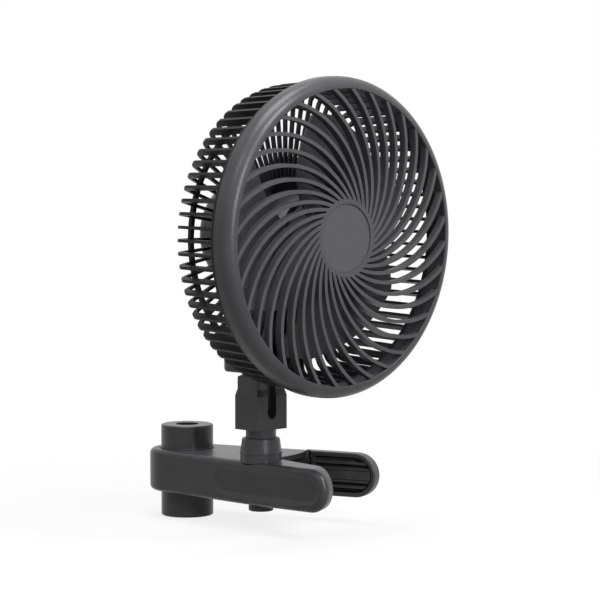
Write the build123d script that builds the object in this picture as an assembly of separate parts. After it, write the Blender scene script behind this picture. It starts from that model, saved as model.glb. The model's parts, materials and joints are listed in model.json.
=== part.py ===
"""Clip fan: a round caged fan head on a tilting, turning neck, carried by a two-jaw spring clamp.

Datum: the origin is the centre of the fixed jaw's grip face. +X points out of that face into the
mouth, +Y runs back to the jaw hinge, +Z is up along the hinge and the neck. The fan faces -Y.
The head pieces are drawn about the fan axis first (y = 0 on the front plane) and then set in place.
All lengths are millimetres, all angles degrees.
"""
import os
from math import acos, asin, atan, cos, degrees, hypot, pi, radians, sin, sqrt, tan

from build123d import *

os.makedirs("parts", exist_ok=True)

# ---- fits -------------------------------------------------------------------------------------
RUN_FIT = 0.05            # radial clearance of a shaft that turns in its bore
SLIP_GAP = 0.4            # gap between mouldings that move past each other
SEAM = 0.15               # half of the visible parting line between two casings
BOLT_SLACK = 0.2          # radial slack of a screw in a through hole

# ---- clamp ------------------------------------------------------------------------------------
JAW_HEIGHT = 27.0         # fixed jaw, top face to bottom face
BARREL_R = 24.0           # outside of the hinge barrel
HINGE_X = 3.2             # hinge axis from the datum
HINGE_Y = 117.6
GRIP_ANGLE = 8.0          # grip face of the fixed jaw leans back from the Y axis by this
GRIP_FRONT = 21.1         # grip centre to the fixed jaw's tip, along the grip face
TIP_SLANT = 27.0          # the fixed jaw's end leans back by this from its outside to its inside
BOW_START = 54.0          # in front of this the jaw's outside bends inwards
BOW_R = 520.0
PAD_PROUD = 0.5           # rubber pads stand this far out of their jaws
PLATE_T = 3.5             # top and bottom plates of the fixed jaw
CASE_WALL = 2.4           # side walls of the mouldings
COVER_DEPTH = 5.0         # depth of the outer cover, from the jaw's outside to the seam
EDGE_ROUND = 3.5          # rounding along the outside of both jaws
LIP_ROUND = 1.0           # rounding of the jaws' inner edges
WEB_R = 79.0              # plates of the fixed jaw reach this far from the hinge axis
WEB_FILLET = 3.0          # root of the mouth, where the plates meet the fixed jaw
GRIP_LENGTH = 84.0        # floor of the long oval finger recess in the cover
GRIP_HEIGHT = 13.0
GRIP_DEPTH = 1.8
GRIP_SLOPE = 62.0         # its sides slope by this from straight in
GRIP_TIP = 8.0            # recess end to the fixed jaw's tip

JAW_OPEN = 19.0           # angle of the moving jaw from the -Y direction, as it stands
MOVING_REACH = 127.0      # hinge axis to the moving jaw's tip
MOVING_H = 28.2
MOVING_T = 10.0           # thickness of the moving jaw
POCKET_DEPTH = 5.5        # hollow in the moving jaw behind its pad
TONGUE_T = 8.6            # tongue that ties the moving jaw to its knuckle
KNUCKLE_R = 17.5
RIM = 2.8                 # rim round each pad
FIXED_PAD_L = 36.0
MOVING_PAD_L = 38.0
PAD_GROOVE = 0.9          # free groove round each pad
PAD_BASE = 2.2            # pad thickness under its ribs
PAD_RIB = 1.4             # width of a pad rib
PAD_RIB_PITCH = 3.7
PLATEAU = 5.6             # smooth band along the middle of a pad
PAD_POCKET = 3.4          # pocket in the fixed jaw

# ---- hinge ------------------------------------------------------------------------------------
BOSS_R = 16.8
BOSS_TOP = 15.2           # height of the upper boss above the jaw
BOSS_BOTTOM = 16.8        # height of the lower boss below the jaw
BOSS_HOLE_R = 7.5
BOSS_FLOOR = 5.2
BOSS_FLANGE = 0.7         # thin flange round the foot of each boss
BOSS_ROUND = 1.1
HINGE_BOLT_R = 3.0
SLEEVE_R = 5.0
HINGE_HEAD_R = 5.0
HINGE_HEAD_H = 6.0
HINGE_NUT_AF = 10.0
HINGE_NUT_H = 5.0
WASHER_R = 6.5
WASHER_T = 1.0
HUB_R = 8.0               # knuckle hub that the spring is wound round
KNUCKLE_FLOOR = 2.4
KNUCKLE_WALL = 2.2
SPRING_WIRE = 1.8
SPRING_TURNS = 5.5
SPRING_PITCH = 2.4

# ---- neck -------------------------------------------------------------------------------------
NECK_X = -8.0             # neck axis and fan centre plane from the datum
NECK_Y = 37.4
PEDESTAL_R = 12.9
PEDESTAL_H = 4.9
PEDESTAL_SINK = 0.9       # foot of the pedestal below the top of the jaw
COLLAR_H = 9.6
COLLAR_TOP_R = 11.7
POST_R = 9.45             # turning post in the collar
POST_GAP = 1.0            # friction washer under the post
SHAFT_R = 6.0
TUBE_R = 8.6              # tube through the fixed jaw round the shaft
DISC_R = 7.75              # retaining disc under the jaw
DISC_T = 4.2
DISC_SINK = 1.8           # screw head sunk in the disc
SWIVEL_SCREW_R = 2.0
SWIVEL_HEAD_R = 3.4
SWIVEL_SCREW_L = 16.0
BLOCK_BOTTOM = 33.4       # above the middle of the jaws
BLOCK_W = 25.6
BLOCK_D = 19.8
BLOCK_H = 21.2            # wide part of the neck block
SHOULDER_H = 3.9          # slope from the wide part to the cheeks
CHEEK_INSET = 1.1         # cheeks above the shoulder are narrower by this on each side
TILT_Z = 48.7             # tilt axis above the middle of the jaws
CHEEK_R = 19.5            # round tops of the cheeks, about the tilt axis
SLOT_W = 7.4
SLOT_FLOOR = 8.6          # bottom of the slot's round end below the tilt axis
TILT_BOLT_R = 2.0
TILT_HEAD_R = 3.6
TILT_HEAD_H = 3.2
TONGUE_END_R = 5.5        # round end of the head's tongue
TONGUE_W = 5.2
TONGUE_D = 11.0

# ---- fan head, about the fan axis ---------------------------------------------------------------
FAN_Z = 154.7             # fan axis above the middle of the jaws
FACE_Y = -36.0            # front plane of the head
BEZEL_R = 97.0
BEZEL_RIM = 7.6           # width of the front ring, seen from the front
BEZEL_DEPTH = 12.6
BEZEL_ROLL = 8.1          # depth over which the front edge rolls back
BEZEL_WALL = 2.4
BEZEL_SCREW_IN = 3.8      # screws that join the cage to the bezel, in from its outside
BEZEL_SCREW_TURN = 47.5   # between two ribs of the cage
SCREW_HEAD_R = 1.9
CAGE_RING_STEP = 1.6      # cage ring inside the bezel's outside
CAGE_RING_DEPTH = 3.6
CAGE_STEP = 4.8            # rear of the cage inside the bezel's outside
CAGE_FLARE = 2.4          # and this much wider where it meets the bezel
CAGE_REAR = 53.0          # rear face behind the front plane
CAGE_CORNER = 8.0
CAGE_RIBS = 72
CAGE_RIB_W = 1.8
CAGE_RIB_T = 4.6          # depth of the ribs round the side of the cage
CAGE_PLATE_T = 2.4        # depth of the ribs on the rear, and the cage's hoop and hub plate
HOOP_STEP = 13.0          # hoop on the rear face, in from the cage's outside
HOOP_W = 2.7
HUB_PLATE_R = 36.0
GRILLE_RIBS = 36
GRILLE_RIB_W = 2.2
GRILLE_DEPTH = 5.6
GRILLE_PROUD = 0.9        # hub disc in front of the ring's inner edge
GRILLE_SUNK = 0.3         # ribs behind that edge where they meet it
HUB_WALL = 4.4
RIB_ARC_R = 68.2          # each front rib is one arc
RIB_ARC_OFFSET = 55.5     # its centre from the fan axis
RIB_ARC_PHASE = 55.5
HUB_DISC_R = 23.5
BADGE_RIM = 2.9           # rim of the hub disc round its plate
BADGE_T = 1.2
BADGE_SUNK = 0.7

# ---- impeller and motor -------------------------------------------------------------------------
BLADES = 3
TIP_CLEARANCE = 14.4      # blade tips to the bezel's inner edge
CUP_R = 22.0
CUP_FRONT = 9.0
CUP_DEPTH = 19.0
CUP_WALL = 2.0
BLADE_T = 1.8
BLADE_BOW = 2.5           # middle of a blade behind a straight line between its edges
BLADE_SPAN = 84.0         # angle that one blade covers at its tip
BLADE_SPREAD = 22.0       # and this much more at the cup
BLADE_END = 92.5          # trailing edge of the first blade at the tip
BLADE_SKEW = 58.0         # the edges lean forward by this from hub to tip
TIP_FRONT, TIP_BACK = 25.0, 37.0
ROOT_FRONT, ROOT_BACK = 11.5, 27.0
BLADE_CORNER = 9.0
MOTOR_R = 25.0
MOTOR_FRONT = 30.0
MOTOR_WALL = 1.2
STATOR_R = 23.6
STATOR_BORE = 14.2
STATOR_DEPTH = 8.0
ROTOR_GAP = 0.4
MOTOR_SHAFT_R = 2.5
BEARING_R = 6.5
BEARING_W = 3.5

# ---- rear housing -------------------------------------------------------------------------------
DRUM_R = 33.0
HOUSING_W = 25.2
HOUSING_BACK = 98.5       # behind the front plane
HOUSING_SPLIT = 80.0
HOUSING_ROUND = 8.5
HOUSING_WALL = 2.4
HOUSING_Z = 20.0          # underside above the tilt axis
BUTTON_R = 7.0
BUTTON_TRAVEL = 1.0
BUTTON_PROUD = 1.6
JACK_W, JACK_H, JACK_L = 9.0, 11.0, 14.0
BOARD_W, BOARD_H, BOARD_T = 34.0, 40.0, 1.6
BOARD_BEHIND = 17.0       # board's front face in from the housing's back
SWITCH_T = 3.5
M3 = 1.5

# ---- worked-out places --------------------------------------------------------------------------
BEZEL_IN_R = BEZEL_R - BEZEL_RIM
BEZEL_SCREW_R = BEZEL_R - BEZEL_SCREW_IN
CAGE_RING_R = BEZEL_R - CAGE_RING_STEP
CAGE_R = BEZEL_R - CAGE_STEP
HOOP_R = CAGE_R - HOOP_STEP
TIP_R = BEZEL_IN_R - TIP_CLEARANCE
BADGE_R = HUB_DISC_R - BADGE_RIM
FAR = 2 * (BEZEL_R + CAGE_REAR)          # beyond everything, for cuts that run right out
HALF = JAW_HEIGHT / 2
ARM_OUT = HINGE_X - BARREL_R
SEAM_R = BARREL_R - COVER_DEPTH
LEAN = radians(GRIP_ANGLE)
TONGUE_H = JAW_HEIGHT - 2 * (PLATE_T + SLIP_GAP)
PEDESTAL_TOP = HALF + PEDESTAL_H
COLLAR_TOP = PEDESTAL_TOP + COLLAR_H
HOUSING_UNDER = TILT_Z + HOUSING_Z - FAN_Z
HINGE = Pos(HINGE_X, HINGE_Y, 0)
GRIP = Rot(0, 0, -GRIP_ANGLE)
HEAD = Pos(NECK_X, FACE_Y, FAN_Z)
JAW = HINGE * Rot(0, 0, JAW_OPEN)
NECK = Pos(NECK_X, NECK_Y, 0)
NECK_IN_HEAD = NECK_Y - FACE_Y


# ---- small shapes -------------------------------------------------------------------------------
def block(x0, x1, y0, y1, z0, z1):
    """Box between two corners."""
    return Pos((x0 + x1) / 2, (y0 + y1) / 2, (z0 + z1) / 2) * Box(x1 - x0, y1 - y0, z1 - z0)


def rod_z(radius, z0, z1, x=0.0, y=0.0):
    """Upright round bar."""
    return Pos(x, y, (z0 + z1) / 2) * Cylinder(radius, z1 - z0)


def rod_y(radius, y0, y1, x=0.0, z=0.0):
    """Round bar along Y."""
    return Pos(x, (y0 + y1) / 2, z) * Rot(90, 0, 0) * Cylinder(radius, y1 - y0)


def rod_x(radius, x0, x1, y=0.0, z=0.0):
    """Round bar along X."""
    return Pos((x0 + x1) / 2, y, z) * Rot(0, 90, 0) * Cylinder(radius, x1 - x0)


def ring_y(r_out, r_in, y0, y1):
    """Ring about the fan axis."""
    return rod_y(r_out, y0, y1) - rod_y(r_in, y0 - 1, y1 + 1)


def plate_y(sketch, y0, y1):
    """Flat drawing in X and Z, made solid from y0 to y1."""
    return Pos(0, y1, 0) * extrude(Plane.XZ * sketch, y1 - y0)


def turned(points):
    """Ring or disc turned about the fan axis from radius and depth points."""
    return revolve(make_face(Polyline(*points, close=True)), Axis.Y)


def polar(radius, angle):
    """Point in the X-Z plane, angle from +X towards +Z."""
    return radius * cos(radians(angle)), radius * sin(radians(angle))


def edges_at(solid, axis, value, tol=0.01):
    """Edges whose ends and middle all lie at one height along an axis."""
    def level(edge):
        return all(abs(getattr(edge.position_at(t), axis) - value) < tol for t in (0.0, 0.5, 1.0))
    return [edge for edge in solid.edges() if level(edge)]


# ---- clamp --------------------------------------------------------------------------------------
def grip_point(along, inset=0.0):
    """Plan point on the fixed jaw's grip side, measured along it from the datum."""
    out = -PAD_PROUD - inset
    return out * cos(LEAN) + along * sin(LEAN), along * cos(LEAN) - out * sin(LEAN)


def outside_x(y, depth=0.0):
    """The fixed jaw's outside in plan, or a line this deep inside it."""
    reach = BOW_R - depth
    drop = max(0.0, BOW_START - y)
    return ARM_OUT + BOW_R - sqrt(reach ** 2 - drop ** 2)


def outside_zone(depth):
    """Everything outside a line that runs this deep inside the fixed jaw's outer side."""
    far = ARM_OUT - 60
    front = BOW_START - BOW_R * sin(radians(18))
    turn = degrees(asin((BOW_START - front) / (BOW_R - depth)))
    side = Line((ARM_OUT + depth, HINGE_Y), (ARM_OUT + depth, BOW_START))
    bow = CenterArc((ARM_OUT + BOW_R, BOW_START), BOW_R - depth, 180, turn)
    rest = Polyline(bow @ 1, (far, front), (far, HINGE_Y), (ARM_OUT + depth, HINGE_Y))
    return make_face([side, bow, rest])


def fixed_plan():
    """Fixed jaw in plan, from its tip to the hinge."""
    front = grip_point(-GRIP_FRONT - 30)
    root = grip_point(WEB_R * 0.6)
    hinge = (HINGE_X, HINGE_Y)
    body = make_face(Polyline((ARM_OUT, HINGE_Y), (ARM_OUT, front[1]), front, root, hinge, close=True))
    return body - outside_zone(0.0)


def fixed_side(height, inset, x0=-90.0, x1=90.0):
    """Side outline of the fixed jaw with its round end, pushed across along the slanted tip."""
    tip_x, tip_y = grip_point(-GRIP_FRONT + inset)
    slope = tan(radians(TIP_SLANT))
    radius = height / 2
    start = tip_y + (x0 - tip_x) * slope
    length = 2 * (HINGE_Y - start)
    outline = Plane(origin=(x0, start, 0), x_dir=(0, 1, 0), z_dir=(1, 0, 0)) * (
        Pos(length / 2, 0) * SlotOverall(length, 2 * radius))
    return extrude(outline, (x1 - x0) * hypot(1, slope), dir=(1, slope, 0))


def fixed_bar():
    """Fixed jaw alone, before the barrel and plates join it."""
    return Pos(0, 0, -HALF) * extrude(fixed_plan(), JAW_HEIGHT) & fixed_side(JAW_HEIGHT, 0.0)


def web_plan():
    """Plates between the jaws: a sector about the hinge, closed by the moving jaw's outer line."""
    out_x, out_y = cos(radians(JAW_OPEN)), sin(radians(JAW_OPEN))
    foot = (HINGE_X + BARREL_R * out_x, HINGE_Y + BARREL_R * out_y)
    far = (foot[0] + 1.2 * WEB_R * out_y, foot[1] - 1.2 * WEB_R * out_x)
    near = grip_point(WEB_R * 0.4)
    wedge = make_face(Polyline((HINGE_X, HINGE_Y), foot, far, (near[0], far[1]), near, close=True))
    return wedge & Pos(HINGE_X, HINGE_Y) * Circle(WEB_R)


def fixed_outer():
    """Outside of the fixed jaw: barrel, jaw and the plates between the jaws."""
    barrel = HINGE * Cylinder(BARREL_R, JAW_HEIGHT)
    web = Pos(0, 0, -HALF) * extrude(web_plan(), JAW_HEIGHT)
    solid = (fixed_bar() + web + barrel).clean()
    grip_line = grip_point(WEB_R * 0.5)
    corner = []
    for edge in solid.edges().filter_by(Axis.Z):
        x, y = edge.center().X, edge.center().Y
        off_grip = (x - grip_line[0]) * cos(LEAN) - (y - grip_line[1]) * sin(LEAN)
        if abs(off_grip) < 0.05 and abs(hypot(x - HINGE_X, y - HINGE_Y) - WEB_R) < 0.05:
            corner.append(edge)
    solid = fillet(corner, WEB_FILLET)
    rim = []
    for edge in solid.edges():
        ends = [edge.position_at(t) for t in (0.0, 0.5, 1.0)]
        on_side = all(p.Y < HINGE_Y + 0.01 and abs(p.X - outside_x(p.Y)) < 0.02 for p in ends)
        on_barrel = all(abs(hypot(p.X - HINGE_X, p.Y - HINGE_Y) - BARREL_R) < 0.02 for p in ends)
        upright = abs(ends[0].Z - ends[2].Z) > JAW_HEIGHT - 0.1 and on_side and abs(ends[1].Y - ends[0].Y) < 0.1
        if (on_side or on_barrel) and not upright:
            rim.append(edge)
    return fillet(rim, EDGE_ROUND)


def cover_zone(grow):
    """Space of the outer cover: outside the seam line, back to the rear of the barrel."""
    far = HINGE_Y + BARREL_R + 10
    left = ARM_OUT - 60
    edge_x = HINGE_X + grow
    half = make_face(Polyline((left, HINGE_Y), (edge_x, HINGE_Y), (edge_x, far), (left, far), close=True))
    half -= Pos(HINGE_X, HINGE_Y) * Circle(SEAM_R - grow)
    zone = outside_zone(COVER_DEPTH + grow) + half
    return Pos(0, 0, -2 * JAW_HEIGHT) * extrude(zone, 4 * JAW_HEIGHT)


def grip_recess():
    """Long oval finger recess in the cover's outside, deepest in the middle."""
    start = grip_point(-GRIP_FRONT)[1] - 6 + GRIP_TIP
    middle = start + GRIP_LENGTH / 2
    surface = (outside_x(start + GRIP_LENGTH) + outside_x(start)) / 2
    lean = degrees(atan((outside_x(start + GRIP_LENGTH) - outside_x(start)) / GRIP_LENGTH))
    spread = 2 * (GRIP_DEPTH + 1.5) * tan(radians(GRIP_SLOPE))
    wide = Plane.YZ.offset(-GRIP_DEPTH - 1.5) * SlotOverall(GRIP_LENGTH + spread, GRIP_HEIGHT + spread)
    floor = Plane.YZ * SlotOverall(GRIP_LENGTH, GRIP_HEIGHT)
    oval = loft([wide, floor])
    return Pos(surface + GRIP_DEPTH - 1.0, middle, 0) * Rot(0, 0, -lean) * oval


def screw_spots():
    """Screws that hold the cover, under the fixed pad, measured along the grip face."""
    return [-FIXED_PAD_L / 5, FIXED_PAD_L / 3]


def arm_cover():
    """Outer cover of the fixed jaw and barrel, a trough with posts for its screws."""
    shell = fixed_outer() & cover_zone(-SEAM)
    inner_h = JAW_HEIGHT - 2 * CASE_WALL
    zone = outside_zone(COVER_DEPTH + 5) - outside_zone(CASE_WALL + GRIP_DEPTH)
    hollow = Pos(0, 0, -inner_h / 2) * extrude(zone, inner_h) & fixed_side(inner_h, CASE_WALL + 3)
    hollow += HINGE * Cylinder(BARREL_R - CASE_WALL - 1, inner_h)
    shell = shell - hollow - grip_recess()
    shell -= rod_z(PEDESTAL_R + SEAM, HALF - PEDESTAL_SINK - SEAM, HALF + 1, NECK_X, NECK_Y)
    for along in screw_spots():
        post = GRIP * rod_x(3.4, -60, 0, along, 0) & cover_zone(-SEAM) - outside_solid(GRIP_DEPTH + 1.0)
        shell += post
        shell -= GRIP * rod_x(M3 - 0.2, -60, 0, along, 0) - outside_solid(GRIP_DEPTH + 1.4)
    return shell


def outside_solid(depth):
    """Everything outside a line inside the jaw's outer side, as a solid."""
    return Pos(0, 0, -2 * JAW_HEIGHT) * extrude(outside_zone(depth), 4 * JAW_HEIGHT)


def pad_shape(length, height, depth, margin=0.0):
    """Block of a pad along Y, round at its front end, from its face at x = 0 inwards."""
    tall = height - 2 * RIM - 2 * PAD_GROOVE + 2 * margin
    total = length + 2 * margin
    shape = Pos(tall / 2, 0) * SlotOverall(total + tall, tall) & Rectangle(total, tall)
    return extrude(Plane.YZ.offset(-depth) * shape, depth)


def clamp_body():
    """Fixed jaw: plates, pad wall, barrel, pedestal and the tube for the neck's shaft."""
    body = fixed_outer() - cover_zone(SEAM)
    room = HALF - PLATE_T
    wall = -PAD_PROUD - PAD_POCKET - CASE_WALL
    front = GRIP * block(-60, wall, -GRIP_FRONT + RIM + 3, NECK_Y - PEDESTAL_R, -room, room)
    front &= fixed_side(2 * room, RIM + CASE_WALL)
    reach = 2 * WEB_R
    wall_in = grip_point(WEB_R * 0.5)
    swing = make_face(Polyline(
        (ARM_OUT - 5, HINGE_Y), (ARM_OUT - 5, NECK_Y + PEDESTAL_R), (wall_in[0] - 2, NECK_Y + PEDESTAL_R),
        (wall_in[0], HINGE_Y - WEB_R - 20), (HINGE_X + reach, HINGE_Y - WEB_R - 20),
        (HINGE_X + reach * 0.8, HINGE_Y + reach * 0.6), (HINGE_X, HINGE_Y), close=True))
    swing += Pos(HINGE_X, HINGE_Y) * Circle(SEAM_R)
    swing = Pos(0, 0, -room) * extrude(swing, 2 * room)
    jaw_wall = Pos(0, 0, -room) * extrude(fixed_plan(), 2 * room)
    jaw_wall &= block(-90, 90, -90, HINGE_Y - WEB_R, -room, room)
    body = body - front - (swing - jaw_wall)
    body += rod_z(PEDESTAL_R, HALF - PEDESTAL_SINK, PEDESTAL_TOP, NECK_X, NECK_Y)
    body += rod_z(TUBE_R, -HALF, HALF, NECK_X, NECK_Y) - cover_zone(SEAM)
    body -= rod_z(SHAFT_R + RUN_FIT, -HALF - 1, PEDESTAL_TOP + 1, NECK_X, NECK_Y)
    body -= rod_z(SLEEVE_R, -HALF - 1, HALF + 1, HINGE_X, HINGE_Y)
    body -= GRIP * Pos(-PAD_PROUD, 0, 0) * pad_shape(FIXED_PAD_L, JAW_HEIGHT, PAD_POCKET, PAD_GROOVE)
    for along in screw_spots():
        body -= GRIP * rod_x(M3 + BOLT_SLACK, -60, 0, along, 0)
        body -= GRIP * rod_x(2 * M3 + BOLT_SLACK, -PAD_PROUD - PAD_POCKET - 1.2, 0, along, 0)
    return body


def cover_screws():
    """Screws through the pad wall into the cover's posts, hidden by the pad."""
    screws = []
    seat = -PAD_PROUD - PAD_POCKET - 1.2
    for along in screw_spots():
        shank = rod_x(M3 - 0.25, -60, seat, along, 0)
        head = rod_x(2 * M3, seat, seat + 1.2, along, 0)
        screws.append(GRIP * (head + shank) - outside_solid(GRIP_DEPTH + 1.8))
    return Compound(children=screws)


def pad(length, height, depth):
    """Rubber pad with lengthwise ribs and a smooth middle band; face at x = 0."""
    top = depth - PAD_BASE
    solid = Pos(-top, 0, 0) * pad_shape(length, height, PAD_BASE)
    outline = pad_shape(length, height, depth)
    bands = [(0.0, PLATEAU)]
    for side in (-1, 1):
        for k in (0, 1):
            bands.append((side * ((PLATEAU + PAD_RIB) / 2 + 0.4 + k * PAD_RIB_PITCH), PAD_RIB))
    for z, width in bands:
        solid += outline & block(-top - 0.5, 0, -length, length, z - width / 2, z + width / 2)
    return solid


def fixed_pad():
    """Pad of the fixed jaw; its face is the datum."""
    return GRIP * pad(FIXED_PAD_L, JAW_HEIGHT, PAD_POCKET + PAD_PROUD)


def moving_bar(x0, x1, reach, height, back=0.0):
    """Straight moving jaw along -Y from the hinge, with a half-round end in side view."""
    radius = height / 2
    outline = Pos(-reach, 0) * Pos(reach + back, 0) * SlotOverall(2 * (reach + back), height)
    outline &= Pos(-reach / 2 - 0.5, 0) * Rectangle(reach + 1, height)
    return extrude(Plane.YZ.offset(x0) * outline, x1 - x0)


def moving_jaw():
    """Moving jaw with its tongue and the knuckle that turns on the hinge sleeve."""
    inner, outer = BARREL_R - MOVING_T, BARREL_R
    arm = moving_bar(inner, outer, MOVING_REACH, MOVING_H)
    arm = fillet(edges_at(arm, "X", outer), EDGE_ROUND)
    arm = fillet(edges_at(arm, "X", inner), LIP_ROUND)
    arm -= Cylinder(WEB_R + SLIP_GAP, 2 * JAW_HEIGHT)
    relief = Pos(inner, -WEB_R - SLIP_GAP, 0) * Rot(0, 0, 45) * Box(1.4 * WEB_FILLET, 1.4 * WEB_FILLET, 60)
    arm -= relief
    height = MOVING_H - 2 * RIM
    pocket = moving_bar(inner - 1, inner + POCKET_DEPTH, MOVING_REACH - RIM, height)
    pocket_end = RIM + 2 * PAD_GROOVE + MOVING_PAD_L - MOVING_REACH
    arm -= pocket & block(-50, 50, -2 * MOVING_REACH, pocket_end, -JAW_HEIGHT, JAW_HEIGHT)
    tongue = block(outer - TONGUE_T, outer - SLIP_GAP, -WEB_R - 6, 0, -TONGUE_H / 2, TONGUE_H / 2)
    knuckle = Cylinder(KNUCKLE_R, TONGUE_H)
    solid = (arm + (tongue + knuckle).clean()).clean()
    well = rod_z(KNUCKLE_R - KNUCKLE_WALL, -TONGUE_H / 2 + KNUCKLE_FLOOR, TONGUE_H)
    solid -= well - Cylinder(HUB_R, 3 * TONGUE_H)
    solid -= Cylinder(SLEEVE_R + RUN_FIT, 2 * JAW_HEIGHT)
    return JAW * solid


def moving_pad():
    """Pad of the moving jaw, in the hollow of the jaw and facing the fixed one."""
    face = BARREL_R - MOVING_T - PAD_PROUD
    place = Pos(face, RIM + PAD_GROOVE + MOVING_PAD_L / 2 - MOVING_REACH, 0) * Rot(0, 180, 0)
    return JAW * place * pad(MOVING_PAD_L, MOVING_H, POCKET_DEPTH + PAD_PROUD)


def torsion_spring():
    """Round-wire spring wound about the knuckle's hub."""
    radius = (HUB_R + KNUCKLE_R - KNUCKLE_WALL) / 2
    path = Helix(SPRING_PITCH, SPRING_PITCH * SPRING_TURNS, radius)
    section = Plane(origin=path @ 0, z_dir=path % 0) * Circle(SPRING_WIRE / 2)
    coil = sweep(section, path=path, is_frenet=True)
    return JAW * Pos(0, 0, -TONGUE_H / 2 + KNUCKLE_FLOOR + SPRING_WIRE / 2 + 0.1) * coil


# ---- hinge --------------------------------------------------------------------------------------
def boss(height):
    """Round boss on the barrel, with a sunk hole for the hinge bolt, standing on z = 0."""
    solid = Cylinder(BOSS_R, height, align=(Align.CENTER, Align.CENTER, Align.MIN))
    solid = fillet(solid.edges().group_by(Axis.Z)[-1], BOSS_ROUND)
    solid += Cylinder(BOSS_R + BOSS_FLANGE, BOSS_FLANGE, align=(Align.CENTER, Align.CENTER, Align.MIN))
    solid -= rod_z(BOSS_HOLE_R, BOSS_FLOOR, height + 1)
    return solid - rod_z(HINGE_BOLT_R + BOLT_SLACK, -1, height + 1)


def hinge_boss_top():
    return HINGE * Pos(0, 0, HALF) * boss(BOSS_TOP)


def hinge_boss_bottom():
    return HINGE * Pos(0, 0, -HALF) * Rot(180, 0, 0) * boss(BOSS_BOTTOM)


def hinge_sleeve():
    """Steel tube between the bosses that the knuckle turns on."""
    return HINGE * (Cylinder(SLEEVE_R, JAW_HEIGHT) - Cylinder(HINGE_BOLT_R + RUN_FIT, JAW_HEIGHT + 2))


def hinge_washers():
    """Washers under the bolt's head and its nut."""
    washer = Cylinder(WASHER_R, WASHER_T) - Cylinder(HINGE_BOLT_R + BOLT_SLACK, 3 * WASHER_T)
    seat = HALF + BOSS_FLOOR + WASHER_T / 2
    return Compound(children=[HINGE * Pos(0, 0, seat) * washer, HINGE * Pos(0, 0, -seat) * washer])


def hinge_bolt():
    """Socket-head bolt down the hinge axis."""
    seat = HALF + BOSS_FLOOR + WASHER_T
    bolt = rod_z(HINGE_BOLT_R, -seat - HINGE_NUT_H - 1.0, seat) + rod_z(HINGE_HEAD_R, seat, seat + HINGE_HEAD_H)
    socket = Pos(0, 0, seat + HINGE_HEAD_H / 2) * extrude(RegularPolygon(HINGE_BOLT_R, 6), HINGE_HEAD_H)
    return HINGE * (bolt - socket)


def hinge_nut():
    """Hexagon nut in the lower boss."""
    seat = HALF + BOSS_FLOOR + WASHER_T
    hexagon = extrude(RegularPolygon(HINGE_NUT_AF / 2, 6, major_radius=False), HINGE_NUT_H)
    return HINGE * Pos(0, 0, -seat - HINGE_NUT_H) * (hexagon - Cylinder(HINGE_BOLT_R, 4 * HINGE_NUT_H))


# ---- neck ---------------------------------------------------------------------------------------
def neck_collar():
    """Tapered trim collar round the foot of the neck."""
    bottom, top = PEDESTAL_TOP, COLLAR_TOP
    lip = 0.9
    outline = Polyline((0, bottom), (PEDESTAL_R + 0.3, bottom), (PEDESTAL_R + 0.3, bottom + lip),
                       (PEDESTAL_R, bottom + lip), (COLLAR_TOP_R, top), (0, top), close=True)
    solid = revolve(Plane.XZ * make_face(outline), Axis.Z)
    solid = fillet(solid.edges().group_by(Axis.Z)[-1], 1.0)
    return NECK * (solid - rod_z(POST_R + SLIP_GAP, bottom - 1, top + 1))


def neck_block():
    """Neck: shaft and post, square block and the two cheeks that hold the head's tongue."""
    shoulder = BLOCK_BOTTOM + BLOCK_H
    wide = block(-BLOCK_W / 2, BLOCK_W / 2, -BLOCK_D / 2, BLOCK_D / 2, BLOCK_BOTTOM, shoulder)
    slope = degrees(atan(CHEEK_INSET / SHOULDER_H))
    wide += Pos(0, 0, shoulder) * extrude(Rectangle(BLOCK_W, BLOCK_D), SHOULDER_H, taper=slope)
    half_w, half_d = BLOCK_W / 2 - CHEEK_INSET, BLOCK_D / 2 - CHEEK_INSET
    cheeks = block(-half_w, half_w, -half_d, half_d, shoulder + 1, TILT_Z + CHEEK_R)
    cheeks &= rod_x(CHEEK_R, -half_w, half_w, 0, TILT_Z)
    solid = wide + cheeks
    round_z = TILT_Z - SLOT_FLOOR + SLOT_W / 2
    slot = block(-SLOT_W / 2, SLOT_W / 2, -BLOCK_D, BLOCK_D, round_z, TILT_Z + 2 * CHEEK_R)
    solid -= slot + rod_y(SLOT_W / 2, -BLOCK_D, BLOCK_D, 0, round_z)
    solid += rod_z(POST_R, PEDESTAL_TOP + POST_GAP, BLOCK_BOTTOM + 0.5)
    solid += rod_z(SHAFT_R, -HALF - 0.2, PEDESTAL_TOP + POST_GAP + 1)
    solid -= rod_z(SWIVEL_SCREW_R, -HALF - 1, -HALF + SWIVEL_SCREW_L - DISC_T)
    solid -= rod_x(TILT_BOLT_R, -BLOCK_W / 2 + 2.0, 0, 0, TILT_Z)
    solid -= rod_x(TILT_BOLT_R + RUN_FIT, 0, BLOCK_W, 0, TILT_Z)
    solid -= rod_x(TILT_HEAD_R + BOLT_SLACK, BLOCK_W / 2 - CHEEK_INSET - TILT_HEAD_H, BLOCK_W, 0, TILT_Z)
    return NECK * solid


def swivel_washer():
    """Friction washer between the post and the pedestal."""
    washer = rod_z(POST_R - 0.6, PEDESTAL_TOP, PEDESTAL_TOP + POST_GAP)
    return NECK * (washer - rod_z(SHAFT_R + RUN_FIT, 0, PEDESTAL_TOP + 5))


def swivel_disc():
    """Retaining disc under the fixed jaw, with a seat for its screw."""
    bottom = -HALF - 0.2 - DISC_T
    disc = rod_z(DISC_R, bottom, bottom + DISC_T)
    disc = fillet(disc.edges().group_by(Axis.Z)[0], 0.8)
    disc -= rod_z(SWIVEL_HEAD_R + BOLT_SLACK, bottom - 1, bottom + DISC_SINK)
    return NECK * (disc - rod_z(SWIVEL_SCREW_R + BOLT_SLACK, bottom - 1, 0))


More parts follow.
